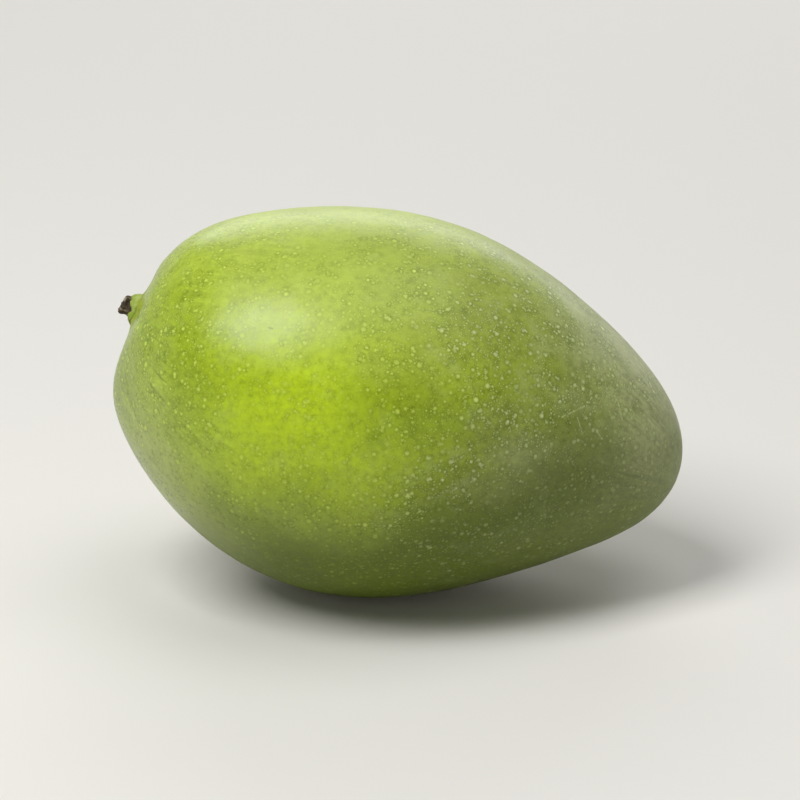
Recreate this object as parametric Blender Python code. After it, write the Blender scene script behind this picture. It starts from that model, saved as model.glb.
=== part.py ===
"""A whole green mango lying on its belly, with the short woody stub of its stem.

Metres, +Z up. The long axis runs along X: the stem end is at -X and the tip at +X,
a little lower. The fruit rests on a small flat spot at z = 0 under its weight, and
the origin is at the bottom centre of the box round both pieces.
"""
import math

import bmesh
import bpy
from mathutils import Matrix, Vector

# The fruit, before it is tilted
LENGTH = 0.124
HEIGHT = 0.084
WIDTH = 0.0865
TILT = math.radians(15.5)

# How full each cross section is, as powers of the place along the axis, -1 at the stem, +1 at the tip
SECTION_LEAN = -0.176
SECTION_PINCH = -0.26
SECTION_SKEW = -0.06
SECTION_ENDS = 0.266

# The middle line sags below the straight axis, most of all towards the stem end
SAG_DEPTH = 0.0024
SAG_LEAN = -1.5

# The shoulder that bulges under the stem: how far out, how wide, and how far below the axis
SHOULDER_RISE = 0.0023
SHOULDER_SPREAD = math.radians(10)
SHOULDER_DROP = math.radians(17)

# Where the stem grows out: angle above the axis, and angle round to the far side
STEM_UP = math.radians(2.9)
STEM_ROUND = math.radians(5.7)

# The shallow basin round the stem and the raised lip at its middle
BASIN_DEPTH = 0.0014
BASIN_SPREAD = math.radians(8)
LIP_RISE = 0.0018
LIP_SPREAD = math.radians(3.2)
LIP_WAVES = 5
LIP_UNEVENNESS = 0.18

# Soft swells that keep the skin from being perfectly regular: height, direction, phase
SWELLS = (
    (0.00030, (1.4, 2.3, -0.9), 0.6),
    (0.00022, (-2.6, 0.8, 2.1), 2.1),
    (0.00016, (3.1, -1.7, 1.9), 4.0),
)

# The mesh of the skin: rings are closer together round the stem
RING_COUNT = 46
SEGMENT_COUNT = 60
RING_CROWDING = 1.35

# The flat spot that the fruit lies on
FLAT_DEPTH = 0.0009
WELD_DISTANCE = 0.00001

# The stub of the stem and the socket that it stands in
STUB_RADIUS = 0.0021
STUB_SIDES = 20
SOCKET_GAP = 0.0003
SOCKET_DEPTH = 0.0020
CUTTER_REACH = 0.0060

# Height above the skin and share of the radius, from the foot of the stub to its broken end
STUB_PROFILE = (
    (-0.0017, 0.94),
    (-0.0012, 1.00),
    (0.0004, 1.00),
    (0.0010, 0.92),
    (0.0016, 1.02),
    (0.0021, 0.97),
    (0.0025, 0.80),
)
BREAK_SLANT = -0.00015
BREAK_DISH = 0.0005
KNOB_WAVES = 3
KNOB_HEIGHT = 0.05
KNOB_TWIST = 4.0

# Edges sharper than this stay sharp in the shading
SHARP_ANGLE = math.radians(40)

# Colour, roughness and metallic value
SKIN_FINISH = ((0.36, 0.52, 0.055, 1.0), 0.42, 0.0)
STUB_FINISH = ((0.055, 0.040, 0.022, 1.0), 0.80, 0.0)


def remove_everything():
    """Empty the scene."""
    for thing in list(bpy.data.objects):
        bpy.data.objects.remove(thing, do_unlink=True)


def make_material(name, finish):
    """A plain material from a colour, a roughness and a metallic value."""
    colour, roughness, metallic = finish
    material = bpy.data.materials.new(name)
    material.use_nodes = True
    shader = material.node_tree.nodes["Principled BSDF"]
    shader.inputs["Base Color"].default_value = colour
    shader.inputs["Roughness"].default_value = roughness
    shader.inputs["Metallic"].default_value = metallic
    return material


def bell(angle, spread):
    """1 at no angle, falling smoothly to 0 over a few spreads."""
    return math.exp(-0.5 * (angle / spread) ** 2)


def stem_direction():
    """The direction from the middle of the fruit to its stem."""
    level = math.cos(STEM_UP)
    x = -level * math.cos(STEM_ROUND)
    y = level * math.sin(STEM_ROUND)
    return Vector((x, y, math.sin(STEM_UP)))


def shoulder_direction():
    """The direction from the middle of the fruit to its shoulder."""
    return Vector((-math.cos(SHOULDER_DROP), 0.0, -math.sin(SHOULDER_DROP)))


def stem_frame():
    """Turns +Z to the stem's direction."""
    return Vector((0.0, 0.0, 1.0)).rotation_difference(stem_direction()).to_matrix()


def section_size(x):
    """The share of the full height and width that a cross section has at x, -1 to +1."""
    return 1.0 + x * (SECTION_LEAN + x * (SECTION_PINCH + x * (SECTION_SKEW + x * SECTION_ENDS)))


def local_rise(direction, turn):
    """How far the skin stands out of the plain form: shoulder, basin, lip and swells."""
    from_shoulder = direction.angle(shoulder_direction(), 0.0)
    from_stem = direction.angle(stem_direction(), 0.0)
    lip = LIP_RISE * (1.0 + LIP_UNEVENNESS * math.sin(LIP_WAVES * turn))
    rise = SHOULDER_RISE * bell(from_shoulder, SHOULDER_SPREAD)
    rise -= BASIN_DEPTH * bell(from_stem, BASIN_SPREAD)
    rise += lip * bell(from_stem, LIP_SPREAD)
    for height, wave, phase in SWELLS:
        rise += height * math.sin(Vector(wave).dot(direction) + phase)
    return rise


def skin_point(around_stem, turn):
    """The place on the tilted skin that lies at an angle from the stem and a turn round it."""
    ring = math.sin(around_stem)
    local = Vector((ring * math.cos(turn), ring * math.sin(turn), math.cos(around_stem)))
    direction = stem_frame() @ local
    x, y, z = direction
    fullness = section_size(x) / 2
    sag = SAG_DEPTH * (1.0 - x * x) * (1.0 + SAG_LEAN * x)
    plain = Vector((LENGTH / 2 * x, WIDTH * fullness * y, HEIGHT * fullness * z - sag))
    return Matrix.Rotation(TILT, 3, "Y") @ (plain + direction * local_rise(direction, turn))


def build_skin():
    """The closed skin, rings round the stem joined by faces, with a cap at each end."""
    skin = bmesh.new()
    rings = []
    for ring in range(1, RING_COUNT):
        around_stem = math.pi * (ring / RING_COUNT) ** RING_CROWDING
        turns = [2 * math.pi * step / SEGMENT_COUNT for step in range(SEGMENT_COUNT)]
        rings.append([skin.verts.new(skin_point(around_stem, turn)) for turn in turns])
    near_pole = skin.verts.new(skin_point(0.0, 0.0))
    far_pole = skin.verts.new(skin_point(math.pi, 0.0))
    for step in range(SEGMENT_COUNT):
        after = (step + 1) % SEGMENT_COUNT
        skin.faces.new((near_pole, rings[0][step], rings[0][after]))
        skin.faces.new((far_pole, rings[-1][after], rings[-1][step]))
        for inner, outer in zip(rings, rings[1:]):
            skin.faces.new((inner[step], outer[step], outer[after], inner[after]))
    bmesh.ops.triangulate(skin, faces=skin.faces)
    return skin


def flatten_underside(skin):
    """Stands the skin so that its lowest part reaches below the ground, and cuts it off level there."""
    lowest = min(vert.co.z for vert in skin.verts)
    bmesh.ops.translate(skin, verts=skin.verts, vec=(0.0, 0.0, -lowest - FLAT_DEPTH))
    parts = skin.verts[:] + skin.edges[:] + skin.faces[:]
    cut = bmesh.ops.bisect_plane(
        skin, geom=parts, dist=WELD_DISTANCE, plane_co=(0, 0, 0), plane_no=(0, 0, 1), clear_inner=True
    )
    rim = [piece for piece in cut["geom_cut"] if isinstance(piece, bmesh.types.BMEdge)]
    bmesh.ops.edgeloop_fill(skin, edges=rim)
    bmesh.ops.recalc_face_normals(skin, faces=skin.faces)
    return -lowest - FLAT_DEPTH


def stem_place(lift):
    """The frame of the stem: its origin on the skin, its Z straight out of it."""
    step = BASIN_SPREAD
    centre = skin_point(0.0, 0.0)
    across = skin_point(step, 0.0) - skin_point(step, math.pi)
    along = skin_point(step, math.pi / 2) - skin_point(step, 3 * math.pi / 2)
    outward = across.cross(along).normalized()
    turn = Vector((0.0, 0.0, 1.0)).rotation_difference(outward).to_matrix().to_4x4()
    return Matrix.Translation(centre + Vector((0.0, 0.0, lift))) @ turn


def build_stub():
    """The stub: rings up its profile, an uneven side, and a slanted, dished broken end."""
    stub = bmesh.new()
    rings = []
    for height, share in STUB_PROFILE:
        above = max(height, 0.0) / STUB_PROFILE[-1][0]
        ring = []
        for step in range(STUB_SIDES):
            turn = 2 * math.pi * step / STUB_SIDES
            knob = 1.0 + KNOB_HEIGHT * above * math.sin(KNOB_WAVES * turn + KNOB_TWIST * above)
            radius = STUB_RADIUS * share * knob
            z = height + BREAK_SLANT * above ** 3 * math.cos(turn)
            ring.append(stub.verts.new((radius * math.cos(turn), radius * math.sin(turn), z)))
        rings.append(ring)
    for lower, upper in zip(rings, rings[1:]):
        for step in range(STUB_SIDES):
            after = (step + 1) % STUB_SIDES
            stub.faces.new((lower[step], lower[after], upper[after], upper[step]))
    stub.faces.new(list(reversed(rings[0])))
    dish = stub.verts.new((0.0, 0.0, STUB_PROFILE[-1][0] - BREAK_DISH))
    for step in range(STUB_SIDES):
        stub.faces.new((rings[-1][step], rings[-1][(step + 1) % STUB_SIDES], dish))
    return stub


def make_object(name, form, material=None):
    """Puts a form into the scene as an object, smooth where it is round."""
    mesh = bpy.data.meshes.new(name)
    form.to_mesh(mesh)
    form.free()
    mesh.shade_smooth()
    mesh.set_sharp_from_angle(angle=SHARP_ANGLE)
    if material:
        mesh.materials.append(material)
    thing = bpy.data.objects.new(name, mesh)
    bpy.context.scene.collection.objects.link(thing)
    return thing


def cut_socket(fruit, place):
    """A round socket for the stub, cut straight into the skin at the stem's place."""
    form = bmesh.new()
    middle = Matrix.Translation((0.0, 0.0, (CUTTER_REACH - SOCKET_DEPTH) / 2))
    bmesh.ops.create_cone(
        form,
        cap_ends=True,
        segments=STUB_SIDES,
        radius1=STUB_RADIUS + SOCKET_GAP,
        radius2=STUB_RADIUS + SOCKET_GAP,
        depth=CUTTER_REACH + SOCKET_DEPTH,
        matrix=middle,
    )
    cutter = make_object("socket_cutter", form)
    cutter.matrix_world = place
    cutter.hide_render = True
    cutter.display_type = "WIRE"
    socket = fruit.modifiers.new("socket", "BOOLEAN")
    socket.operation = "DIFFERENCE"
    socket.solver = "EXACT"
    socket.object = cutter


def centre_on_origin(things):
    """Moves the pieces level so that the box round them is centred on the origin."""
    bpy.context.view_layer.update()
    depsgraph = bpy.context.evaluated_depsgraph_get()
    corners = []
    for thing in things:
        seen = thing.evaluated_get(depsgraph)
        corners += [seen.matrix_world @ vert.co for vert in seen.data.vertices]
    middle = [(min(c[axis] for c in corners) + max(c[axis] for c in corners)) / 2 for axis in (0, 1)]
    shift = Matrix.Translation((-middle[0], -middle[1], 0.0))
    for thing in bpy.context.scene.objects:
        thing.matrix_world = shift @ thing.matrix_world


def build_mango():
    """The fruit with its socket, and the stub standing in it."""
    remove_everything()
    skin = build_skin()
    lift = flatten_underside(skin)
    place = stem_place(lift)
    fruit = make_object("mango_fruit", skin, make_material("green_skin", SKIN_FINISH))
    cut_socket(fruit, place)
    stub = make_object("stem_stub", build_stub(), make_material("dry_stem", STUB_FINISH))
    stub.matrix_world = place
    centre_on_origin((fruit, stub))


build_mango()
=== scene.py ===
# A whole green mango at rest on a pale studio floor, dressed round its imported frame.
# Metres, +Z up: the stem end is at -X, the tip at +X, and the camera looks along +Y.
import math

import bpy
import numpy as np
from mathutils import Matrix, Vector


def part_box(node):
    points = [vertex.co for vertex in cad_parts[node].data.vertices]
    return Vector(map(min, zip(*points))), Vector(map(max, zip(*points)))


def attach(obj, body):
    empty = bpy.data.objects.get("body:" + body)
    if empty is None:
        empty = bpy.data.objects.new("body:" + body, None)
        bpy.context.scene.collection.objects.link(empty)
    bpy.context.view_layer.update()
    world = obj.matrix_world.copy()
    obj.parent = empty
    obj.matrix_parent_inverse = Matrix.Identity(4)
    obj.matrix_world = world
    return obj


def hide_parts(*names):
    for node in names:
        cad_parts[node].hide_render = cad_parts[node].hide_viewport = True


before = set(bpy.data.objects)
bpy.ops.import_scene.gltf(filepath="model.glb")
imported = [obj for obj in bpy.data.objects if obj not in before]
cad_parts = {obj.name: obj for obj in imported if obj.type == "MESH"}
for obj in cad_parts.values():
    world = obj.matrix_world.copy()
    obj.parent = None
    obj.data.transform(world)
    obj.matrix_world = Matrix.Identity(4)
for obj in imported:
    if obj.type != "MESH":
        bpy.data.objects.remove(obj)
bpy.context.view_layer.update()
fruitLow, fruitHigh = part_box("mango_fruit")
print("frame loaded")

mm = 0.001


# Small tools

def bell(angle, spread):
    # 1 at no angle, falling as a Gaussian curve to 0
    return np.exp(-0.5 * (angle / spread) ** 2)


def smoothStep(low, high, value):
    # 0 up to low, 1 from high on, and an S curve between; low may also be the larger of the two
    t = np.clip((value - low) / (high - low), 0.0, 1.0)
    return t * t * (3.0 - 2.0 * t)


def unit(vector):
    # A vector divided by its own length
    vector = np.asarray(vector, float)
    return vector / np.linalg.norm(vector)


def smoothNoise(points, cell, seed):
    # Random numbers from -1 to 1 on a cubic lattice of that cell size, blended between its corners
    size = 24
    lattice = np.random.default_rng(seed).uniform(-1.0, 1.0, (size, size, size))
    scaled = points / cell
    corner = np.floor(scaled).astype(int)
    part = scaled - corner
    part = part * part * part * (part * (part * 6.0 - 15.0) + 10.0)
    total = np.zeros(points.shape[:-1])
    for dx in (0, 1):
        for dy in (0, 1):
            for dz in (0, 1):
                step = np.array((dx, dy, dz))
                weight = np.prod(np.where(step == 1, part, 1.0 - part), axis=-1)
                i, j, k = np.moveaxis((corner + step) % size, -1, 0)
                total += weight * lattice[i, j, k]
    return total


def layeredNoise(points, cell, seed, layers=3):
    # Smooth noise at the cell size, plus finer copies, each half the size and half the height
    total = np.zeros(points.shape[:-1])
    for layer in range(layers):
        total += 0.5 ** layer * smoothNoise(points, cell * 0.5 ** layer, seed + layer)
    return total


def turnedTo(direction):
    # The turn that carries +Z to a direction, as a 3 by 3 matrix
    return np.array(Vector((0, 0, 1)).rotation_difference(Vector(direction)).to_matrix())


def addPiece(name, points, faces):
    # A smooth mesh as an object of its own, unturned at the origin
    mesh = bpy.data.meshes.new(name)
    mesh.from_pydata(points.tolist(), [], faces)
    mesh.shade_smooth()
    mesh.update()
    piece = bpy.data.objects.new(name, mesh)
    bpy.context.scene.collection.objects.link(piece)
    return piece


def closedMesh(name, grid, start, end):
    # Rows of grid points, closed round and joined by quads, with a fan of triangles to a point at each end
    rows, columns = grid.shape[:2]
    points = np.concatenate([grid.reshape(-1, 3), [start], [end]])
    here = np.arange(columns)
    after = (here + 1) % columns
    first = np.arange(rows - 1)[:, None] * columns
    quads = np.stack([first + here, first + columns + here, first + columns + after, first + after], -1)
    startFan = np.stack([np.full(columns, rows * columns), here, after], -1)
    last = (rows - 1) * columns
    endFan = np.stack([np.full(columns, rows * columns + 1), last + after, last + here], -1)
    return addPiece(name, points, quads.reshape(-1, 4).tolist() + startFan.tolist() + endFan.tolist())


def storeValue(piece, name, values):
    # One number for each vertex, which the material reads by name
    layer = piece.data.attributes.new(name, "FLOAT", "POINT")
    layer.data.foreach_set("value", np.asarray(values, np.float32).ravel())


def storeVector(piece, name, vectors):
    # Three numbers for each vertex, which the material reads by name
    layer = piece.data.attributes.new(name, "FLOAT_VECTOR", "POINT")
    layer.data.foreach_set("vector", np.asarray(vectors, np.float32).ravel())


# The fruit

fruit = {
    "length": 0.124,
    "height": 0.084,
    "width": 0.0865,
    "tilt": math.radians(15.5),   # tip down
    "sectionLean": -0.176,        # the polynomial's terms: fuller towards the stem
    "sectionPinch": -0.26,        # slimmer away from the middle
    "sectionSkew": -0.06,
    "sectionEnds": 0.266,         # blunter at both ends
    "sagDepth": 0.0024,           # how far the middle line hangs down
    "sagLean": -1.5,              # more of it towards the stem
    "shoulderRise": 0.0023,       # the swelling under the stem
    "shoulderSpread": math.radians(10),
    "shoulderDrop": math.radians(17),
    "stemUp": math.radians(2.9),  # where the stem stands, before the fruit is tilted
    "stemRound": math.radians(5.7),
    "basinDepth": 0.0014,         # the hollow round the stem
    "basinSpread": math.radians(8),
    "lipRise": 0.0018,            # the raised lip at its middle
    "lipSpread": math.radians(3.2),
    "lipWaves": 5,
    "lipUnevenness": 0.18,
    "swells": (                   # height, direction, phase
        (0.00030, (1.4, 2.3, -0.9), 0.6),
        (0.00022, (-2.6, 0.8, 2.1), 2.1),
        (0.00016, (3.1, -1.7, 1.9), 4.0),
    ),
    "rings": 290,
    "columns": 320,
    "ringCrowding": 1.25,         # rings are closer together round the stem
    "underRounding": 0.0002,      # keeps the flat spot just above the floor
    "peelHeight": 0.00006,        # the faint waviness of the peel
    "peelCell": 0.0065,
    "lumpHeight": 0.00015,        # lumps round the stem
    "lumpCell": 0.0042,
    "lumpSpread": math.radians(13),
    "wrinkleDepth": 0.00013,      # wrinkles that run out from the lip
    "wrinkleCount": 2.6,
    "wrinkleFrom": math.radians(6),
    "wrinkleTo": math.radians(15),
    "wrinkleCurl": 2.0,           # how fast a wrinkle changes as it runs out
    "peelSeed": 41,
    "lumpSeed": 48,
    "wrinkleSeed": 52,
}


def stemDirection():
    # From the middle to the stem: along -X, raised and turned aside by two angles
    up, aside = fruit["stemUp"], fruit["stemRound"]
    level = math.cos(up)
    return np.array((-level * math.cos(aside), level * math.sin(aside), math.sin(up)))


def shoulderDirection():
    # From the middle to the swelling under the stem: along -X, lowered by an angle
    drop = fruit["shoulderDrop"]
    return np.array((-math.cos(drop), 0.0, -math.sin(drop)))


def leanMatrix():
    # The turn about Y that lowers the tip
    tilt = fruit["tilt"]
    return np.array(((math.cos(tilt), 0, math.sin(tilt)), (0, 1, 0), (-math.sin(tilt), 0, math.cos(tilt))))


def skinSurface(aroundStem, turn, relief=True):
    # The skin as a function of the angle from the stem and the turn round it. A unit sphere is
    # stretched to length, width and height times a polynomial in x, its middle line sags, then it
    # is pushed out along the sphere's own direction by bells for shoulder, basin and lip and by
    # three sine waves, and last the whole is tilted about Y.
    # Relief adds the waviness, lumps and wrinkles that are too fine for the frame.
    ring = np.sin(aroundStem)
    local = np.stack([ring * np.cos(turn), ring * np.sin(turn), np.cos(aroundStem)], -1)
    direction = local @ turnedTo(stemDirection()).T
    x, y, z = np.moveaxis(direction, -1, 0)
    ends = fruit["sectionPinch"] + x * (fruit["sectionSkew"] + x * fruit["sectionEnds"])
    half = 0.5 + 0.5 * x * (fruit["sectionLean"] + x * ends)
    sag = fruit["sagDepth"] * (1 - x * x) * (1 + fruit["sagLean"] * x)
    tall = fruit["height"] * half * z - sag
    plain = np.stack([fruit["length"] / 2 * x, fruit["width"] * half * y, tall], -1)
    fromShoulder = np.arccos(np.clip(direction @ shoulderDirection(), -1, 1))
    lip = fruit["lipRise"] * (1 + fruit["lipUnevenness"] * np.sin(fruit["lipWaves"] * turn))
    rise = fruit["shoulderRise"] * bell(fromShoulder, fruit["shoulderSpread"])
    rise = rise - fruit["basinDepth"] * bell(aroundStem, fruit["basinSpread"])
    rise = rise + lip * bell(aroundStem, fruit["lipSpread"])
    for height, wave, phase in fruit["swells"]:
        rise = rise + height * np.sin(direction @ np.array(wave) + phase)
    if relief:
        rise = rise + fineRelief(plain, aroundStem, turn)
    return (plain + direction * rise[..., None]) @ leanMatrix().T, direction


def fineRelief(plain, aroundStem, turn):
    # Waviness everywhere, lumps that die away from the stem, and wrinkles that run out from the lip:
    # they are the creases of a noise that is read on a circle, so that it is stretched along the fruit
    rise = fruit["peelHeight"] * layeredNoise(plain, fruit["peelCell"], fruit["peelSeed"], 2)
    lumps = layeredNoise(plain, fruit["lumpCell"], fruit["lumpSeed"], 2)
    rise = rise + fruit["lumpHeight"] * bell(aroundStem, fruit["lumpSpread"]) * lumps
    window = smoothStep(0.5 * fruit["wrinkleFrom"], fruit["wrinkleFrom"], aroundStem)
    window = window * (1 - smoothStep(fruit["wrinkleFrom"], fruit["wrinkleTo"], aroundStem))
    circle = np.stack([np.cos(turn), np.sin(turn), fruit["wrinkleCurl"] * aroundStem], -1)
    crease = 1 - np.abs(layeredNoise(fruit["wrinkleCount"] * circle, 1.0, fruit["wrinkleSeed"], 2))
    return rise - fruit["wrinkleDepth"] * window * np.clip(crease, 0, 1) ** 2


def placeInFrame():
    # How far the formula's fruit moves so that its box meets the box of the frame's fruit
    rings, columns = 181, 240
    around = math.pi * np.linspace(0, 1, rings)[:, None]
    turn = 2 * math.pi * np.linspace(0, 1, columns, endpoint=False)[None, :]
    points = skinSurface(around + 0 * turn, turn + 0 * around, relief=False)[0].reshape(-1, 3)
    low, high = points.min(0), points.max(0)
    middle = (np.array(fruitLow) + np.array(fruitHigh)) / 2 - (low + high) / 2
    return np.array((middle[0], middle[1], fruitHigh[2] - high[2]))


skinShift = placeInFrame()


def buildFruit():
    # The skin on rings that crowd towards the stem, with a point at each end, and rounded off just
    # above the floor: half the sum of the height and of the root of its square plus a small square
    rings = np.arange(1, fruit["rings"])
    around = math.pi * (rings / fruit["rings"]) ** fruit["ringCrowding"]
    turn = 2 * math.pi * np.arange(fruit["columns"]) / fruit["columns"]
    around, turn = np.meshgrid(around, turn, indexing="ij")
    grid, direction = skinSurface(around, turn)
    ends, endDirections = skinSurface(np.array((0.0, math.pi)), np.zeros(2))
    points = np.concatenate([grid.reshape(-1, 3), ends]) + skinShift
    direction = np.concatenate([direction.reshape(-1, 3), endDirections])
    around = np.concatenate([around.ravel(), (0.0, math.pi)])
    turn = np.concatenate([turn.ravel(), (0.0, 0.0)])
    height = points[:, 2]
    points[:, 2] = 0.5 * (height + np.sqrt(height ** 2 + fruit["underRounding"] ** 2))
    piece = closedMesh("mangoSkin", points[:-2].reshape(grid.shape), points[-2], points[-1])
    return piece, direction, around, turn


skinZones = {                     # steps are along the fruit, from -1 at the stem to 1 at the tip
    "broadCell": 0.55,            # two noises that make the edges ragged
    "broadSeed": 5,
    "fineCell": 0.35,
    "fineSeed": 9,
    "olive": (-0.35, 0.82),
    "oliveRagged": 0.22,
    "grey": (0.15, 1.05),
    "greyRagged": 0.25,
    "greyOffBelly": 0.85,
    # painted shade: the underside zone is a dark olive laid below the fruit, reaching higher towards the
    # tip, where shade falls
    "belly": (-0.02, -0.62),      # steps down the fruit as it lies, from 1 at the top to -1 below
    "bellyRagged": 0.12,
    "bellyClimb": 0.46,           # how much higher it reaches towards the tip
    "bellyClimbs": (-0.1, 0.6),
    # painted highlight: the pale zone lightens the upper side of the fruit, where the light from above
    # falls
    "pale": (0.0, 0.85),          # steps up the fruit
    "paleRagged": 0.2,
    "paleOffGrey": 0.5,
    "dotsAtStem": 0.55,
    "dots": (-0.45, 0.15),
    "dotsRagged": 0.2,
    "dotRing": (0.42, 0.22, 0.6),       # more dots round the stem: angle, spread and strength
    "streakRing": (0.55, 0.26),         # streaks round the stem: angle and spread
    "streaks": (0.45, 0.85),
    "streaksAtTip": 0.8,
    "stemNear": math.radians(5.5),
    "grainStretch": 0.20,         # how long the streaks along the fruit are, against their width
    "patchRagged": 0.5,
    "patches": (                  # zone, direction of its middle, spread in radians, strength
        # painted light: the next two patches are a brighter yellow-green where the light falls most, in
        # front and behind
        ("paintedLight", (-0.41, -0.88, 0.30), 0.31, 1.0),
        ("paintedLight", (-0.25, 0.90, 0.36), 0.50, 1.0),
        # the next three patches are a deeper green by the stem, and painted shade in the band along the
        # left limb below it and on the far side
        ("stemGreenShade", (-0.84, -0.46, 0.32), 0.20, 1.0),
        ("stemGreenShade", (-0.77, -0.62, 0.10), 0.16, 1.0),
        ("stemGreenShade", (-0.86, 0.46, 0.10), 0.26, 1.0),
        # the next three patches are pale grey-green waxy bloom together with a painted reflection on the
        # lower shoulder
        ("bloomAndReflection", (-0.90, -0.42, -0.22), 0.27, 1.0),
        ("bloomAndReflection", (-0.60, 0.72, -0.34), 0.30, 1.0),
        ("bloomAndReflection", (-0.33, -0.90, -0.28), 0.14, 0.3),
        ("grey", (0.92, -0.38, -0.04), 0.20, 0.5),
        ("streaks", (-0.78, -0.62, 0.04), 0.17, 1.0),
        ("streaks", (-0.80, 0.55, -0.16), 0.20, 1.0),
    ),
}


def paintFruit(piece, direction, around, turn):
    # Where each finish lies, from 0 to 1: S curves along the fruit or up it with edges made ragged by
    # noise, rings round the stem, and patches that fall off as bells from their middles. Some are painted
    # light and shade: the dark underside is painted shade, the pale upper side and the lit patches are
    # painted light, the band along the left limb is partly painted shade, and the lower shoulder holds a
    # painted reflection.
    # The grain is a circle round the fruit that moves on slowly from stem to tip, so that noise
    # read on it gives streaks that run along the fruit.
    s = skinZones
    x, z = direction[:, 0], direction[:, 2]
    facing = direction @ leanMatrix().T
    broad = layeredNoise(direction, s["broadCell"], s["broadSeed"], 3)
    fine = layeredNoise(direction, s["fineCell"], s["fineSeed"], 3)
    grey = smoothStep(*s["grey"], x + s["greyRagged"] * fine)
    # painted highlight on the upper side
    pale = smoothStep(*s["pale"], z + s["paleRagged"] * broad)
    climb = s["bellyClimb"] * smoothStep(*s["bellyClimbs"], x)
    # painted shade on the underside, reaching higher towards the tip
    belly = smoothStep(*s["belly"], facing[:, 2] + s["bellyRagged"] * broad - climb)
    ringAngle, ringSpread, ringStrength = s["dotRing"]
    dots = s["dotsAtStem"] + (1 - s["dotsAtStem"]) * smoothStep(*s["dots"], x + s["dotsRagged"] * broad)
    dots = dots + ringStrength * bell(around - ringAngle, ringSpread)
    ringAngle, ringSpread = s["streakRing"]
    streaks = bell(around - ringAngle, ringSpread) + s["streaksAtTip"] * smoothStep(*s["streaks"], x)
    zones = {
        "olive": smoothStep(*s["olive"], x + s["oliveRagged"] * broad),
        "belly": belly,
        "grey": grey * (1 - s["greyOffBelly"] * belly),
        "pale": pale * (1 - s["paleOffGrey"] * grey),
        "dots": np.clip(dots, 0, 1),
        "streaks": np.clip(streaks, 0, 1),
        "stemNear": bell(around, s["stemNear"]),
    }
    for zone, centre, spread, strength in s["patches"]:
        apart = np.arccos(np.clip(facing @ unit(centre), -1, 1))
        patch = strength * np.clip(bell(apart, spread) * (1 + s["patchRagged"] * broad), 0, 1)
        zones[zone] = zones.get(zone, 0) + patch
    for name, values in zones.items():
        storeValue(piece, name, values)
    storeVector(piece, "grain", np.stack([np.cos(turn), np.sin(turn), s["grainStretch"] * around], -1))


mangoSkin, skinDirections, aroundStem, turnRound = buildFruit()
paintFruit(mangoSkin, skinDirections, aroundStem, turnRound)
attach(mangoSkin, "root")
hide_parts("mango_fruit")
print("fruit built,", len(mangoSkin.data.polygons), "faces")


# The stub of the stem

def stemFrame():
    # Where the stub stands: its foot on the skin, and the turn that carries +Z straight out of it,
    # square to two lines across the basin
    step = fruit["basinSpread"]
    around = np.array((0.0, step, step, step, step))
    turn = np.array((0.0, 0.0, math.pi, math.pi / 2, 3 * math.pi / 2))
    points = skinSurface(around, turn, relief=False)[0] + skinShift
    outward = unit(np.cross(points[1] - points[2], points[3] - points[4]))
    return points[0], turnedTo(outward)


stub = {
    "radius": 0.0021,
    "profileHeights": (-0.9, -0.3, 0.2, 0.7, 1.2, 1.7, 2.1, 2.4, 2.55),   # mm above the skin
    "profileShares": (1.26, 1.16, 1.03, 0.94, 0.93, 1.03, 1.01, 0.90, 0.74),
    "rings": 56,
    "endRings": 14,
    "columns": 84,
    "slant": -0.00015,
    "dish": 0.0006,
    "knobWaves": 3,
    "knobHeight": 0.05,
    "knobTwist": 4.0,
    "barkHeight": 0.00016,
    "barkCell": 0.32,
    "barkStretch": 0.22,          # how fast the bark changes along the stem, for each mm
    "barkFrom": -0.2,             # mm above the skin, where the bark sets in
    "barkTo": 0.8,
    "fibreHeight": 0.00028,
    "fibreCell": 0.00042,
    "fibreEdge": 0.85,            # the torn fibres reach their height this far from the middle
    "barkPlace": 10.0,            # where in the noise the bark and the fibres are read
    "fibrePlace": 0.05,
    "barkSeed": 17,
    "fibreSeed": 20,
}


def stubSurface(along, turn):
    # A turned profile whose radius is read along its height, swelled by a threefold knob wave and
    # roughened by noise stretched along the stem
    last = stub["profileHeights"][-1]
    steps = np.linspace(0, 1, len(stub["profileHeights"]))
    height = np.interp(along, steps, stub["profileHeights"])
    share = np.interp(along, steps, stub["profileShares"])
    above = np.clip(height, 0, None) / last
    knob = 1 + stub["knobHeight"] * above * np.sin(stub["knobWaves"] * turn + stub["knobTwist"] * above)
    ring = np.stack([np.cos(turn), np.sin(turn), stub["barkStretch"] * height], -1)
    bark = layeredNoise(ring + stub["barkPlace"], stub["barkCell"], stub["barkSeed"], 3)
    radius = stub["radius"] * share * knob
    radius = radius + stub["barkHeight"] * bark * smoothStep(stub["barkFrom"], stub["barkTo"], height)
    z = mm * height + stub["slant"] * above ** 3 * np.cos(turn)
    return np.stack([radius * np.cos(turn), radius * np.sin(turn), z], -1), bark


def stubEnd(rim, share):
    # The broken end: the rim drawn in to the middle, dished, with the stumps of torn fibres
    points = rim * share[..., None]
    points[..., 2] = rim[..., 2] - stub["dish"] * (1 - share ** 2)
    fibre = layeredNoise(points + stub["fibrePlace"], stub["fibreCell"], stub["fibreSeed"], 2)
    points[..., 2] += stub["fibreHeight"] * fibre * smoothStep(1.0, stub["fibreEdge"], share)
    return points, fibre


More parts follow.
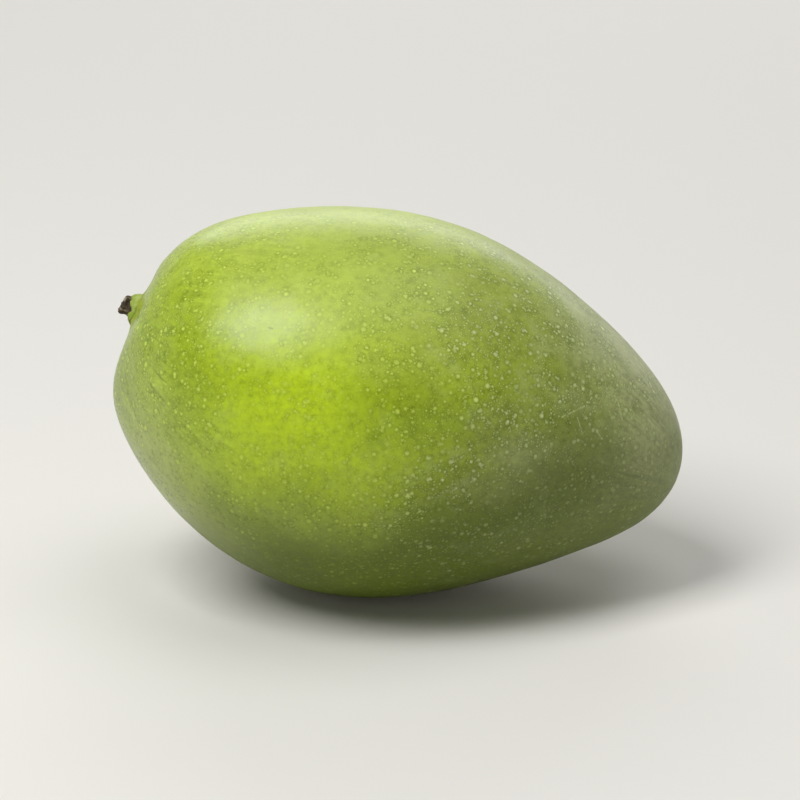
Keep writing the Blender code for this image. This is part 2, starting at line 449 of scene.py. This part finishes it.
def buildStub(foot, turned):
    # The side and the broken end as one grid, closed by a point at each end and turned into place
    along = np.linspace(0, 1, stub["rings"])
    turn = 2 * math.pi * np.arange(stub["columns"]) / stub["columns"]
    side, bark = stubSurface(*np.meshgrid(along, turn, indexing="ij"))
    share = np.linspace(1, 0, stub["endRings"] + 2)[1:-1, None]
    rim = np.broadcast_to(side[-1], (stub["endRings"],) + side[-1].shape).copy()
    end, fibre = stubEnd(rim, share + 0 * turn[None, :])
    grid = np.concatenate([side, end])
    bottom = np.array((0.0, 0.0, side[0, :, 2].mean()))
    top = np.array((0.0, 0.0, end[-1, :, 2].mean()))
    grid, bottom, top = (points @ turned.T + foot for points in (grid, bottom, top))
    piece = closedMesh("stemStub", grid, bottom, top)
    torn = np.concatenate([np.zeros(side.shape[:2]), np.ones(end.shape[:2])]).ravel()
    rough = np.concatenate([bark, fibre]).ravel()
    storeValue(piece, "torn", np.concatenate([torn, (0.0, 1.0)]))
    storeValue(piece, "rough", np.concatenate([rough, (0.0, 0.0)]))
    return piece


stemFoot, stemTurn = stemFrame()
stemStub = buildStub(stemFoot, stemTurn)
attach(stemStub, "root")
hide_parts("stem_stub")
print("stub built,", len(stemStub.data.polygons), "faces")


# The collar of skin round the stub's foot

collar = {
    "radius": 0.0027,
    "halfWidth": 0.00085,
    "height": 0.00050,
    "topRise": 0.00105,           # how much higher it climbs on the stub's upper side
    "topSpread": math.radians(46),
    "sink": 0.00008,
    "lean": 0.00035,              # its crest leans in over the stub's foot
    "unevenness": 0.26,
    "lumpCell": 0.42,
    "lumpAcross": 0.5,            # how much the lumps change across the ring
    "lumpPlace": 20.0,            # where in the noise they are read
    "lumpSeed": 23,
    "rows": 168,
    "columns": 36,
}


def tubeMesh(name, grid):
    # A grid that closes both ways, as a ring-shaped tube does
    rows, columns = grid.shape[:2]
    row, column = np.meshgrid(np.arange(rows), np.arange(columns), indexing="ij")
    nextRow, nextColumn = (row + 1) % rows, (column + 1) % columns
    pairs = ((row, column), (nextRow, column), (nextRow, nextColumn), (row, nextColumn))
    corners = np.stack([along * columns + across for along, across in pairs], -1)
    return addPiece(name, grid.reshape(-1, 3), corners.reshape(-1, 4).tolist())


def buildCollar(foot, turned):
    # A ring-shaped tube round the stub, laid on the skin: its section is an ellipse whose height
    # rises in a bell on the stub's upper side, leans in at the crest, and is made lumpy by noise
    turn = 2 * math.pi * np.arange(collar["rows"]) / collar["rows"]
    section = 2 * math.pi * np.arange(collar["columns"]) / collar["columns"]
    turn, section = np.meshgrid(turn, section, indexing="ij")
    fromTop = np.abs((turn + math.pi) % (2 * math.pi) - math.pi)
    ring = np.stack([np.cos(turn), np.sin(turn), collar["lumpAcross"] * np.cos(section)], -1)
    noise = layeredNoise(ring + collar["lumpPlace"], collar["lumpCell"], collar["lumpSeed"], 3)
    lumps = 1 + collar["unevenness"] * noise
    height = (collar["height"] + collar["topRise"] * bell(fromTop, collar["topSpread"])) * lumps
    crest = np.clip(np.sin(section), 0, 1)
    radius = collar["radius"] + collar["halfWidth"] * lumps * np.cos(section) - collar["lean"] * crest
    skin = skinSurface(2 * radius / fruit["length"], turn, relief=False)[0] + skinShift
    ground = (skin - foot) @ turned
    z = ground[..., 2] + height * np.sin(section) - collar["sink"]
    grid = np.stack([radius * np.cos(turn), radius * np.sin(turn), z], -1) @ turned.T + foot
    piece = tubeMesh("stemCollar", grid)
    storeValue(piece, "inward", 0.5 - 0.5 * np.cos(section))
    return piece


stemCollar = buildCollar(stemFoot, stemTurn)
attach(stemCollar, "root")
print("collar built,", len(stemCollar.data.polygons), "faces")


# Materials

class Nodes:
    # A short way to lay out shader nodes: each call adds one and links or sets its inputs
    def __init__(self, name):
        self.material = bpy.data.materials.new(name)
        self.material.use_nodes = True
        self.tree = self.material.node_tree
        self.shader = self.tree.nodes["Principled BSDF"]

    def put(self, socket, value):
        # Links another node's output, or sets a plain value
        if isinstance(value, bpy.types.NodeSocket):
            self.tree.links.new(value, socket)
        else:
            socket.default_value = value

    def add(self, kind, settings=None, output=0, **inputs):
        # A node of any kind, whose inputs are named with _ for a space
        node = self.tree.nodes.new("ShaderNode" + kind)
        for key, value in (settings or {}).items():
            setattr(node, key, value)
        for key, value in inputs.items():
            self.put(node.inputs[key.replace("_", " ")], value)
        return node.outputs[output]

    def math(self, operation, *values, clamp=False):
        # One sum, product or the like of numbers
        node = self.tree.nodes.new("ShaderNodeMath")
        node.operation = operation
        node.use_clamp = clamp
        for socket, value in zip(node.inputs, values):
            self.put(socket, value)
        return node.outputs[0]

    def between(self, value, low, high, atLow=0.0, atHigh=1.0):
        # A smooth ramp of a value between two limits
        node = self.tree.nodes.new("ShaderNodeMapRange")
        node.interpolation_type = "SMOOTHSTEP"
        for socket, number in zip(node.inputs, (value, low, high, atLow, atHigh)):
            self.put(socket, number)
        return node.outputs[0]

    def mix(self, factor, first, second, blend="MIX"):
        # Two colours, the first where the factor is 0 and the second where it is 1
        node = self.tree.nodes.new("ShaderNodeMix")
        node.data_type = "RGBA"
        node.blend_type = blend
        for socket, value in zip((node.inputs[0], node.inputs[6], node.inputs[7]), (factor, first, second)):
            self.put(socket, value)
        return node.outputs[2]

    def stored(self, name, output=2):
        # A value kept on the vertices, or with output 1 a vector
        return self.add("Attribute", {"attribute_name": name}, output=output)

    def place(self):
        # Object coordinates, in metres
        return self.add("TexCoord", output=3)

    def noise(self, scale, detail=2.0, roughness=0.5, where=None, output=0):
        # Noise at a number of cells per metre, with finer layers; output 1 is a colour
        settings = {"Vector": where or self.place(), "Scale": scale, "Detail": detail}
        return self.add("TexNoise", output=output, Roughness=roughness, **settings)

    def cells(self, scale, where):
        # Round cells: the distance to the middle of the nearest one, and a random number for each
        node = self.tree.nodes.new("ShaderNodeTexVoronoi")
        node.inputs["Scale"].default_value = scale
        self.put(node.inputs["Vector"], where)
        return node.outputs["Distance"], self.add("SeparateColor", Color=node.outputs["Color"])

    def vectors(self, operation, *values, output=0):
        # One sum, product or the like of vectors; output 1 is a number
        node = self.tree.nodes.new("ShaderNodeVectorMath")
        node.operation = operation
        for socket, value in zip(node.inputs, values):
            self.put(socket, value)
        return node.outputs[output]

    def fromLine(self, start, end, where):
        # How far a point is from the straight line between two others
        along = end - start
        fromStart = self.vectors("SUBTRACT", where, start)
        share = self.vectors("DOT_PRODUCT", fromStart, along / along.length_squared, output=1)
        share = self.math("MULTIPLY", share, 1.0, clamp=True)
        spread = self.add("CombineXYZ", X=share, Y=share, Z=share)
        nearest = self.vectors("MULTIPLY", spread, along)
        return self.vectors("LENGTH", self.vectors("SUBTRACT", fromStart, nearest), output=1)


def hexColour(text):
    # An sRGB colour written as six hex digits, as linear red, green and blue with full alpha
    parts = np.array([int(text[i:i + 2], 16) / 255 for i in (0, 2, 4)])
    linear = np.where(parts <= 0.04045, parts / 12.92, ((parts + 0.055) / 1.055) ** 2.4)
    return (*linear.tolist(), 1.0)


skinFinish = {
    "yellowGreen": "98b015",
    "deepGreen": "758a0d",
    # painted highlight: the paler yellow-green laid on the upper side
    "paintedTopLight": "b0c155",
    # painted light: the brighter yellow-green of the lit patches
    "paintedLight": "b4cd10",
    # a deeper green by the stem that is partly painted shade along the left limb
    "stemGreenShade": "8aa110",
    "olive": "838d36",
    # painted shade: the dark olive of the underside
    "belly": "4e5d05",
    "greyOlive": "b0b488",
    # waxy bloom, with a painted reflection on the lower shoulder
    "bloomAndReflection": "a3ad6c",
    "russet": "8c8140",
    "zoneShares": (                # laid over each other in this order
        ("pale", "paintedTopLight", 0.7),
        ("olive", "olive", 0.9),
        ("paintedLight", "paintedLight", 0.8),
        ("stemGreenShade", "stemGreenShade", 0.7),
        ("belly", "belly", 0.9),
        ("grey", "greyOlive", 0.85),
        ("bloomAndReflection", "bloomAndReflection", 0.7),
    ),
    # A noise is cells per metre, layers and roughness. A ramp is the two values between which it
    # rises from 0 to 1, or from the third number to the fourth. "On" a zone, it reads that zone.
    "clouds": (55.0, 4.0, 0.55),
    "cloudRamp": (0.32, 0.62),
    "wisps": (150.0, 4.0, 0.6),    # small pale and deep clouds, mostly on the olive half
    "wispPale": "a8b27c",
    "wispDeep": "66751a",
    "wispPaleRamp": (0.50, 0.68),
    "wispDeepRamp": (0.50, 0.34),
    "wispOnOlive": (0.05, 0.6, 0.102, 0.34),
    "wispOnBelly": (0.1, 0.9, 1.0, 0.25),
    "mottle": (620.0, 4.0, 0.62),
    "mottleRamp": (0.30, 0.70, -1.0, 1.0),
    "mottleOnOlive": (0.0, 0.8, 0.12, 0.15),
    "mottleOnPale": (0.2, 1.0, 1.0, 0.35),
    "streaks": (26.0, 3.0, 0.6),   # read along the grain, so these cells aren't per metre
    "streakRamp": (0.36, 0.64, -1.0, 1.0),
    "streakPatches": (70.0, 2.0),
    "streakPatchRamp": (0.42, 0.66, 0.15, 1.0),
    "streakStrength": 0.20,
    "russetFlecks": (800.0, 4.0, 0.6),
    "russetLift": 0.25,            # added to the noise at the stem
    "russetRamp": (0.62, 0.78),
    "russetOnStem": (0.05, 0.6, 0.0, 0.75),
    "roughness": 0.29,
    "paleRoughness": 0.39,
    "greyRoughness": 0.42,
    "bellyRoughness": 0.50,
    "stemRoughness": 0.70,
    "mottleRoughness": 0.03,       # added where the mottling is light and where a dot is
    "dotRoughness": 0.12,
    "peel": (900.0, 3.0, 0.6),
    "peelBump": (0.35, 0.00004),   # strength and height
    "specular": 0.33,
    "subsurface": 0.12,
    "subsurfaceScale": 0.003,
    "subsurfaceRadius": (0.9, 1.0, 0.25),
}


def skinGround(n):
    # Broad colour: yellow-green with soft clouds, olive and then grey towards the tip, and painted shade
    # as dark olive below; a painted highlight on the upper side, painted light in the lit patches, partly
    # painted shade in the deeper green along the left limb, and a painted reflection in the bloom on the
    # lower shoulder
    s = skinFinish
    cloud = n.between(n.noise(*s["clouds"]), *s["cloudRamp"])
    colour = n.mix(cloud, hexColour(s["yellowGreen"]), hexColour(s["deepGreen"]))
    for zone, name, share in s["zoneShares"]:
        colour = n.mix(n.math("MULTIPLY", n.stored(zone), share), colour, hexColour(s[name]))
    wisp = n.noise(*s["wisps"])
    share = n.between(n.stored("olive"), *s["wispOnOlive"])
    share = n.math("MULTIPLY", share, n.between(n.stored("belly"), *s["wispOnBelly"]))
    pale = n.math("MULTIPLY", n.between(wisp, *s["wispPaleRamp"]), share)
    deep = n.math("MULTIPLY", n.between(wisp, *s["wispDeepRamp"]), share)
    return n.mix(deep, n.mix(pale, colour, hexColour(s["wispPale"])), hexColour(s["wispDeep"]))


def skinMottle(n, colour):
    # Fine mottling, and streaks along the fruit on the shoulder and at the tip, as a change of brightness
    s = skinFinish
    mottle = n.between(n.noise(*s["mottle"]), *s["mottleRamp"])
    strength = n.between(n.stored("olive"), *s["mottleOnOlive"])
    strength = n.math("MULTIPLY", strength, n.between(n.stored("pale"), *s["mottleOnPale"]))
    shade = n.math("MULTIPLY_ADD", mottle, strength, 1.0)
    streak = n.between(n.noise(*s["streaks"], n.stored("grain", 1)), *s["streakRamp"])
    patch = n.between(n.noise(*s["streakPatches"]), *s["streakPatchRamp"])
    strength = n.math("MULTIPLY", n.math("MULTIPLY", n.stored("streaks"), patch), s["streakStrength"])
    shade = n.math("MULTIPLY_ADD", streak, strength, shade)
    return n.mix(1.0, colour, n.add("CombineColor", Red=shade, Green=shade, Blue=shade), "MULTIPLY"), mottle


lenticels = {
    "lightOnGreen": "d0e360",
    "lightOnTip": "cfd99a",
    "dark": "566a0c",
    "tipOnOlive": (0.05, 0.5),
    "patches": (130.0, 2.0),
    "patchRamp": (0.30, 0.60, 0.40, 1.0),
    "onBelly": (0.1, 0.9, 1.0, 0.3),
    "wander": 0.05,                # how far the edge of a dot strays, in cells
    "dotFade": (0.3, 1.15),        # where the dot and its rim start to fade and are gone, in radii
    "rimFade": (0.8, 2.7),
    "layers": (                    # cells per metre, smallest and added radius in cells, light, dark rim
        (430.0, 0.13, 0.16, 0.95, 0.36),
        (640.0, 0.15, 0.18, 0.80, 0.30),
        (1150.0, 0.17, 0.20, 0.55, 0.22),
        (1750.0, 0.20, 0.20, 0.40, 0.16),
    ),
}


def skinDots(n, colour, mottle):
    # Pale lenticels with a dark rim: layers of round cells, cut by the skin at every height, so
    # that their sizes differ, with edges made to wander by the mottling
    s = lenticels
    towardsTip = n.between(n.stored("olive"), *s["tipOnOlive"])
    light = n.mix(towardsTip, hexColour(s["lightOnGreen"]), hexColour(s["lightOnTip"]))
    patch = n.between(n.noise(*s["patches"]), *s["patchRamp"])
    amount = n.math("MULTIPLY", n.stored("dots"), patch)
    amount = n.math("MULTIPLY", amount, n.between(n.stored("belly"), *s["onBelly"]))
    raised = 0.0
    for scale, smallest, added, lightShare, darkShare in s["layers"]:
        apart, lot = n.cells(scale, n.place())
        apart = n.math("MULTIPLY_ADD", mottle, s["wander"], apart)
        radius = n.math("MULTIPLY_ADD", lot, added, smallest)
        dot = n.between(apart, *(n.math("MULTIPLY", radius, edge) for edge in s["dotFade"]), 1.0, 0.0)
        rim = n.between(apart, *(n.math("MULTIPLY", radius, edge) for edge in s["rimFade"]), 1.0, 0.0)
        dot = n.math("MULTIPLY", dot, n.math("MULTIPLY", amount, lightShare))
        rim = n.math("MULTIPLY", rim, n.math("MULTIPLY", amount, darkShare))
        colour = n.mix(rim, colour, hexColour(s["dark"]))
        colour = n.mix(dot, colour, light)
        raised = n.math("ADD", dot, raised)
    return colour, raised


def skinRusset(n, colour):
    # Brown flecks of russet close round the stem: noise that is lifted near it, above a limit
    s = skinFinish
    near = n.stored("stemNear")
    fleck = n.math("MULTIPLY_ADD", near, s["russetLift"], n.noise(*s["russetFlecks"]))
    fleck = n.between(fleck, *s["russetRamp"])
    amount = n.math("MULTIPLY", fleck, n.between(near, *s["russetOnStem"]))
    return n.mix(amount, colour, hexColour(s["russet"]))


marks = {
    "light": "c2cc92",
    "dark": "4a4a18",
    "waves": (900.0, 2.0),         # noise that bends the lines, and how far
    "waveHeight": 0.0005,
    "breaks": (1400.0, 2.0),
    "breakRamp": (0.38, 0.55, 0.35, 1.0),
    "fade": (0.3, 1.3),            # where a line starts to fade and is gone, in half widths
    "lines": (                     # both ends as (angle from the stem, turn round it), half width, strength
        ((2.14, 5.18), (2.21, 5.32), 0.00022, 0.55),
        ((2.20, 5.22), (2.25, 5.11), 0.00018, 0.45),
        ((2.29, 5.20), (2.34, 5.14), 0.00020, 0.40),
        ((2.34, 5.52), (2.40, 5.38), 0.00020, 0.45),
        ((2.39, 5.60), (2.45, 5.50), 0.00020, 0.40),
        ((2.53, 5.58), (2.60, 5.56), 0.00024, 0.45),
        ((1.61, 5.29), (1.70, 5.24), 0.00190, 0.15),
        ((1.03, 5.18), (1.045, 5.18), 0.00028, -0.55),
        ((1.51, 4.95), (1.52, 4.96), 0.00120, -0.20),
        ((1.72, 1.30), (1.80, 1.44), 0.00022, 0.45),
        ((2.20, 1.90), (2.27, 1.80), 0.00022, 0.45),
        ((1.20, 1.62), (1.215, 1.63), 0.00040, -0.50),
    ),
}


def skinMarks(n, colour):
    # Short scratches, a smudge and small bruises, each a line on the skin with a soft, broken edge,
    # pale where its strength is above 0 and dark where it is below
    s = marks
    wave = n.noise(*s["waves"], output=1)
    where = n.vectors("MULTIPLY_ADD", wave, (s["waveHeight"],) * 3, n.place())
    where = n.vectors("SUBTRACT", where, (0.5 * s["waveHeight"],) * 3)
    broken = n.between(n.noise(*s["breaks"]), *s["breakRamp"])
    for start, end, halfWidth, strength in s["lines"]:
        ends = skinSurface(np.array((start[0], end[0])), np.array((start[1], end[1])))[0] + skinShift
        apart = n.fromLine(Vector(ends[0]), Vector(ends[1]), where)
        line = n.between(apart, *(halfWidth * edge for edge in s["fade"]), abs(strength), 0.0)
        tone = s["light"] if strength > 0 else s["dark"]
        colour = n.mix(n.math("MULTIPLY", line, broken), colour, hexColour(tone))
    return colour


def skinMaterial():
    # The layers of colour one over the other, the roughness of the roughest zone at each place, a
    # fine bump, and a little light that wanders under the surface
    s = skinFinish
    n = Nodes("waxyGreenSkin")
    colour, mottle = skinMottle(n, skinGround(n))
    colour, raised = skinDots(n, colour, mottle)
    colour = skinMarks(n, skinRusset(n, colour))
    n.put(n.shader.inputs["Base Color"], colour)

    rough = n.between(n.stored("grey"), 0.0, 1.0, s["roughness"], s["greyRoughness"])
    rough = n.math("MAXIMUM", rough, n.math("MULTIPLY", n.stored("pale"), s["paleRoughness"]))
    rough = n.math("MAXIMUM", rough, n.math("MULTIPLY", n.stored("belly"), s["bellyRoughness"]))
    rough = n.math("MAXIMUM", rough, n.math("MULTIPLY", n.stored("stemNear"), s["stemRoughness"]))
    rough = n.math("MULTIPLY_ADD", mottle, s["mottleRoughness"], rough)
    rough = n.math("MULTIPLY_ADD", raised, s["dotRoughness"], rough, clamp=True)
    n.put(n.shader.inputs["Roughness"], rough)

    strength, height = s["peelBump"]
    bump = n.add("Bump", Height=n.noise(*s["peel"]), Strength=strength, Distance=height)
    n.put(n.shader.inputs["Normal"], bump)

    n.shader.inputs["Specular IOR Level"].default_value = s["specular"]
    n.shader.inputs["Subsurface Weight"].default_value = s["subsurface"]
    n.shader.inputs["Subsurface Scale"].default_value = s["subsurfaceScale"]
    n.shader.inputs["Subsurface Radius"].default_value = s["subsurfaceRadius"]
    return n.material


stubFinish = {
    "bark": "4a3a26",
    "barkRidge": "8b7f68",
    "barkDark": "241a10",
    "torn": "6d5a3c",
    "grain": (1800.0, 4.0, 0.6),
    "barkRamp": (0.35, 0.65),
    "ridgeRamp": (0.15, 0.9),
    "tornRamp": (0.3, 0.7),
    "bump": (0.5, 0.0001),
    "roughness": 0.85,
}


def stubMaterial():
    # Dark grainy bark, paler where it stands up in ridges, and bare fibre on the broken end
    s = stubFinish
    n = Nodes("dryStemWood")
    grain = n.noise(*s["grain"])
    bark = n.mix(n.between(grain, *s["barkRamp"]), hexColour(s["barkDark"]), hexColour(s["bark"]))
    bark = n.mix(n.between(n.stored("rough"), *s["ridgeRamp"]), bark, hexColour(s["barkRidge"]))
    torn = n.mix(n.between(grain, *s["tornRamp"]), hexColour(s["barkDark"]), hexColour(s["torn"]))
    n.put(n.shader.inputs["Base Color"], n.mix(n.stored("torn"), bark, torn))
    strength, height = s["bump"]
    n.put(n.shader.inputs["Normal"], n.add("Bump", Height=grain, Strength=strength, Distance=height))
    n.shader.inputs["Roughness"].default_value = s["roughness"]
    return n.material


collarFinish = {
    "green": "7d9230",
    "pale": "9aa955",
    "cork": "75683c",
    "corkDark": "40371c",
    "grain": (1300.0, 4.0, 0.65),
    "patches": (450.0, 2.0),
    "patchRamp": (0.38, 0.62),
    "corkRamp": (0.38, 0.62),
    "edgeRagged": 0.9,             # how far the grain frays the edge of the cork
    "edgeRamp": (0.44, 0.70),      # 0 is the outer foot of the ring, 1 the inner
    "bump": (0.5, 0.0001),
    "roughness": 0.75,
    "specular": 0.25,
}


def collarMaterial():
    # Pale green tissue that turns to cork where it meets the stub
    s = collarFinish
    n = Nodes("greenCollar")
    grain = n.noise(*s["grain"])
    patch = n.between(n.noise(*s["patches"]), *s["patchRamp"])
    tissue = n.mix(patch, hexColour(s["green"]), hexColour(s["pale"]))
    cork = n.mix(n.between(grain, *s["corkRamp"]), hexColour(s["corkDark"]), hexColour(s["cork"]))
    edge = n.math("MULTIPLY_ADD", n.math("SUBTRACT", grain, 0.5), s["edgeRagged"], n.stored("inward"))
    n.put(n.shader.inputs["Base Color"], n.mix(n.between(edge, *s["edgeRamp"]), tissue, cork))
    strength, height = s["bump"]
    n.put(n.shader.inputs["Normal"], n.add("Bump", Height=grain, Strength=strength, Distance=height))
    n.shader.inputs["Roughness"].default_value = s["roughness"]
    n.shader.inputs["Specular IOR Level"].default_value = s["specular"]
    return n.material


mangoSkin.data.materials.append(skinMaterial())
stemStub.data.materials.append(stubMaterial())
stemCollar.data.materials.append(collarMaterial())
print("materials made")


# Studio: floor, backdrop, lights and camera

studio = {
    "floorColour": "d8d6d1",
    "floorReach": 1.6,            # how far the level floor runs before it bends up
    "bendRadius": 0.5,
    "backdropRise": 0.7,
    "levelRings": (0.05, 0.3, 0.7),   # rings of the level floor, as shares of its reach
    "bendRings": 24,
    "floorColumns": 96,
    "floorRoughness": 0.9,
    "floorSpecular": 0.2,
    "worldColour": "ffffff",
    "worldStrength": 0.10,
    "glow": 0.52,                 # the ground's own light far out, where the lights no longer reach it
    "glowMiddle": (0.0, 0.4, 0.0),
    "glowFrom": 0.35,
    "glowTo": 1.50,
    "lights": {                   # direction from the fruit, distance, size and power
        "keySoftbox": {"at": (-0.43, -0.34, 0.84), "reach": 0.95, "size": (0.37, 0.58), "watts": 7.8},
        "backSoftbox": {"at": (0.00, 0.90, 0.42), "reach": 1.30, "size": (0.95, 0.55), "watts": 5.4},
        "rightStrip": {"at": (0.60, 0.78, 0.27), "reach": 1.30, "size": (0.80, 0.50), "watts": 1.7},
        "leftStrip": {"at": (-0.92, 0.20, 0.34), "reach": 1.20, "size": (0.40, 0.40), "watts": 0.4},
        "topSoftbox": {"at": (0.30, 0.06, 1.00), "reach": 1.30, "size": (0.90, 0.90), "watts": 4.8},
    },
}


def buildFloor():
    # A round sweep: a profile that runs level from the middle, bends up in a quarter circle and goes
    # on as a wall, turned right round, so that every view has the same plain ground, and closed in
    # the middle by one flat face
    reach, bend = studio["floorReach"], studio["bendRadius"]
    level = reach * np.array(studio["levelRings"])
    arc = np.linspace(0, math.pi / 2, studio["bendRings"])
    run = np.concatenate([level, reach + bend * np.sin(arc), [reach + bend]])
    rise = np.concatenate([0 * level, bend - bend * np.cos(arc), [studio["backdropRise"]]])
    turn = 2 * math.pi * np.arange(studio["floorColumns"]) / studio["floorColumns"]
    run, turn = np.meshgrid(run, turn, indexing="ij")
    grid = np.stack([run * np.cos(turn), run * np.sin(turn), rise[:, None] + 0 * turn], -1)
    rows, columns = grid.shape[:2]
    here = np.arange(rows - 1)[:, None] * columns + np.arange(columns)
    after = np.arange(rows - 1)[:, None] * columns + (np.arange(columns) + 1) % columns
    faces = np.stack([here, after, after + columns, here + columns], -1).reshape(-1, 4).tolist()
    middleFace = list(range(columns))[::-1]
    floor = addPiece("studioFloor", grid.reshape(-1, 3), [middleFace] + faces)
    floor.data.materials.append(floorMaterial())
    return floor


def floorMaterial():
    # Pale matt paper that also gives a little light of its own, more the farther out it is
    n = Nodes("floorPaper")
    flat = n.vectors("MULTIPLY", n.vectors("SUBTRACT", n.place(), studio["glowMiddle"]), (1.0, 1.0, 0.0))
    apart = n.vectors("LENGTH", flat, output=1)
    glow = n.between(apart, studio["glowFrom"], studio["glowTo"], 0.0, studio["glow"])
    n.put(n.shader.inputs["Emission Strength"], glow)
    n.put(n.shader.inputs["Emission Color"], hexColour(studio["floorColour"]))
    n.material.cycles.emission_sampling = "NONE"
    n.shader.inputs["Base Color"].default_value = hexColour(studio["floorColour"])
    n.shader.inputs["Roughness"].default_value = studio["floorRoughness"]
    n.shader.inputs["Specular IOR Level"].default_value = studio["floorSpecular"]
    return n.material


def aimAt(thing, target):
    # Turns a lamp or a camera to look straight at a point, with its own +Y upwards
    thing.rotation_mode = "QUATERNION"
    thing.rotation_quaternion = (target - thing.location).to_track_quat("-Z", "Y")


def buildLights(target):
    # Softboxes that face the fruit, each out along its own direction, and a faint even sky
    for name, light in studio["lights"].items():
        lamp = bpy.data.lights.new(name, "AREA")
        lamp.shape = "RECTANGLE"
        lamp.size, lamp.size_y = light["size"]
        lamp.energy = light["watts"]
        thing = bpy.data.objects.new(name, lamp)
        bpy.context.scene.collection.objects.link(thing)
        thing.location = target + Vector(light["at"]).normalized() * light["reach"]
        aimAt(thing, target)
    world = bpy.data.worlds.new("studioWorld")
    world.use_nodes = True
    background = world.node_tree.nodes["Background"]
    background.inputs["Color"].default_value = hexColour(studio["worldColour"])
    background.inputs["Strength"].default_value = studio["worldStrength"]
    bpy.context.scene.world = world


view = {
    "elevation": math.radians(20),
    "distance": 0.90,
    "frameWidth": 0.1742,         # how wide the picture is at the fruit
    "aimRight": 0.0003,
    "aimUp": 0.0001,
    "sensor": 36.0,               # mm
    "clip": (0.05, 20.0),
}


def buildCamera(target):
    # A long lens: the sensor is to the picture's width at the fruit as the lens is to the distance
    lens = bpy.data.cameras.new("photoCamera")
    lens.sensor_width = view["sensor"]
    lens.lens = view["sensor"] * view["distance"] / view["frameWidth"]
    lens.clip_start, lens.clip_end = view["clip"]
    camera = bpy.data.objects.new("photoCamera", lens)
    bpy.context.scene.collection.objects.link(camera)
    level, rise = math.cos(view["elevation"]), math.sin(view["elevation"])
    aim = target + Vector((view["aimRight"], view["aimUp"] * rise, view["aimUp"] * level))
    camera.location = aim + view["distance"] * Vector((0, -level, rise))
    aimAt(camera, aim)
    bpy.context.scene.camera = camera


middle = Vector((0.0, 0.0, fruitHigh[2] / 2))
buildFloor()
buildLights(middle)
buildCamera(middle)
bpy.context.scene.view_settings.view_transform = "Standard"
print("studio set")
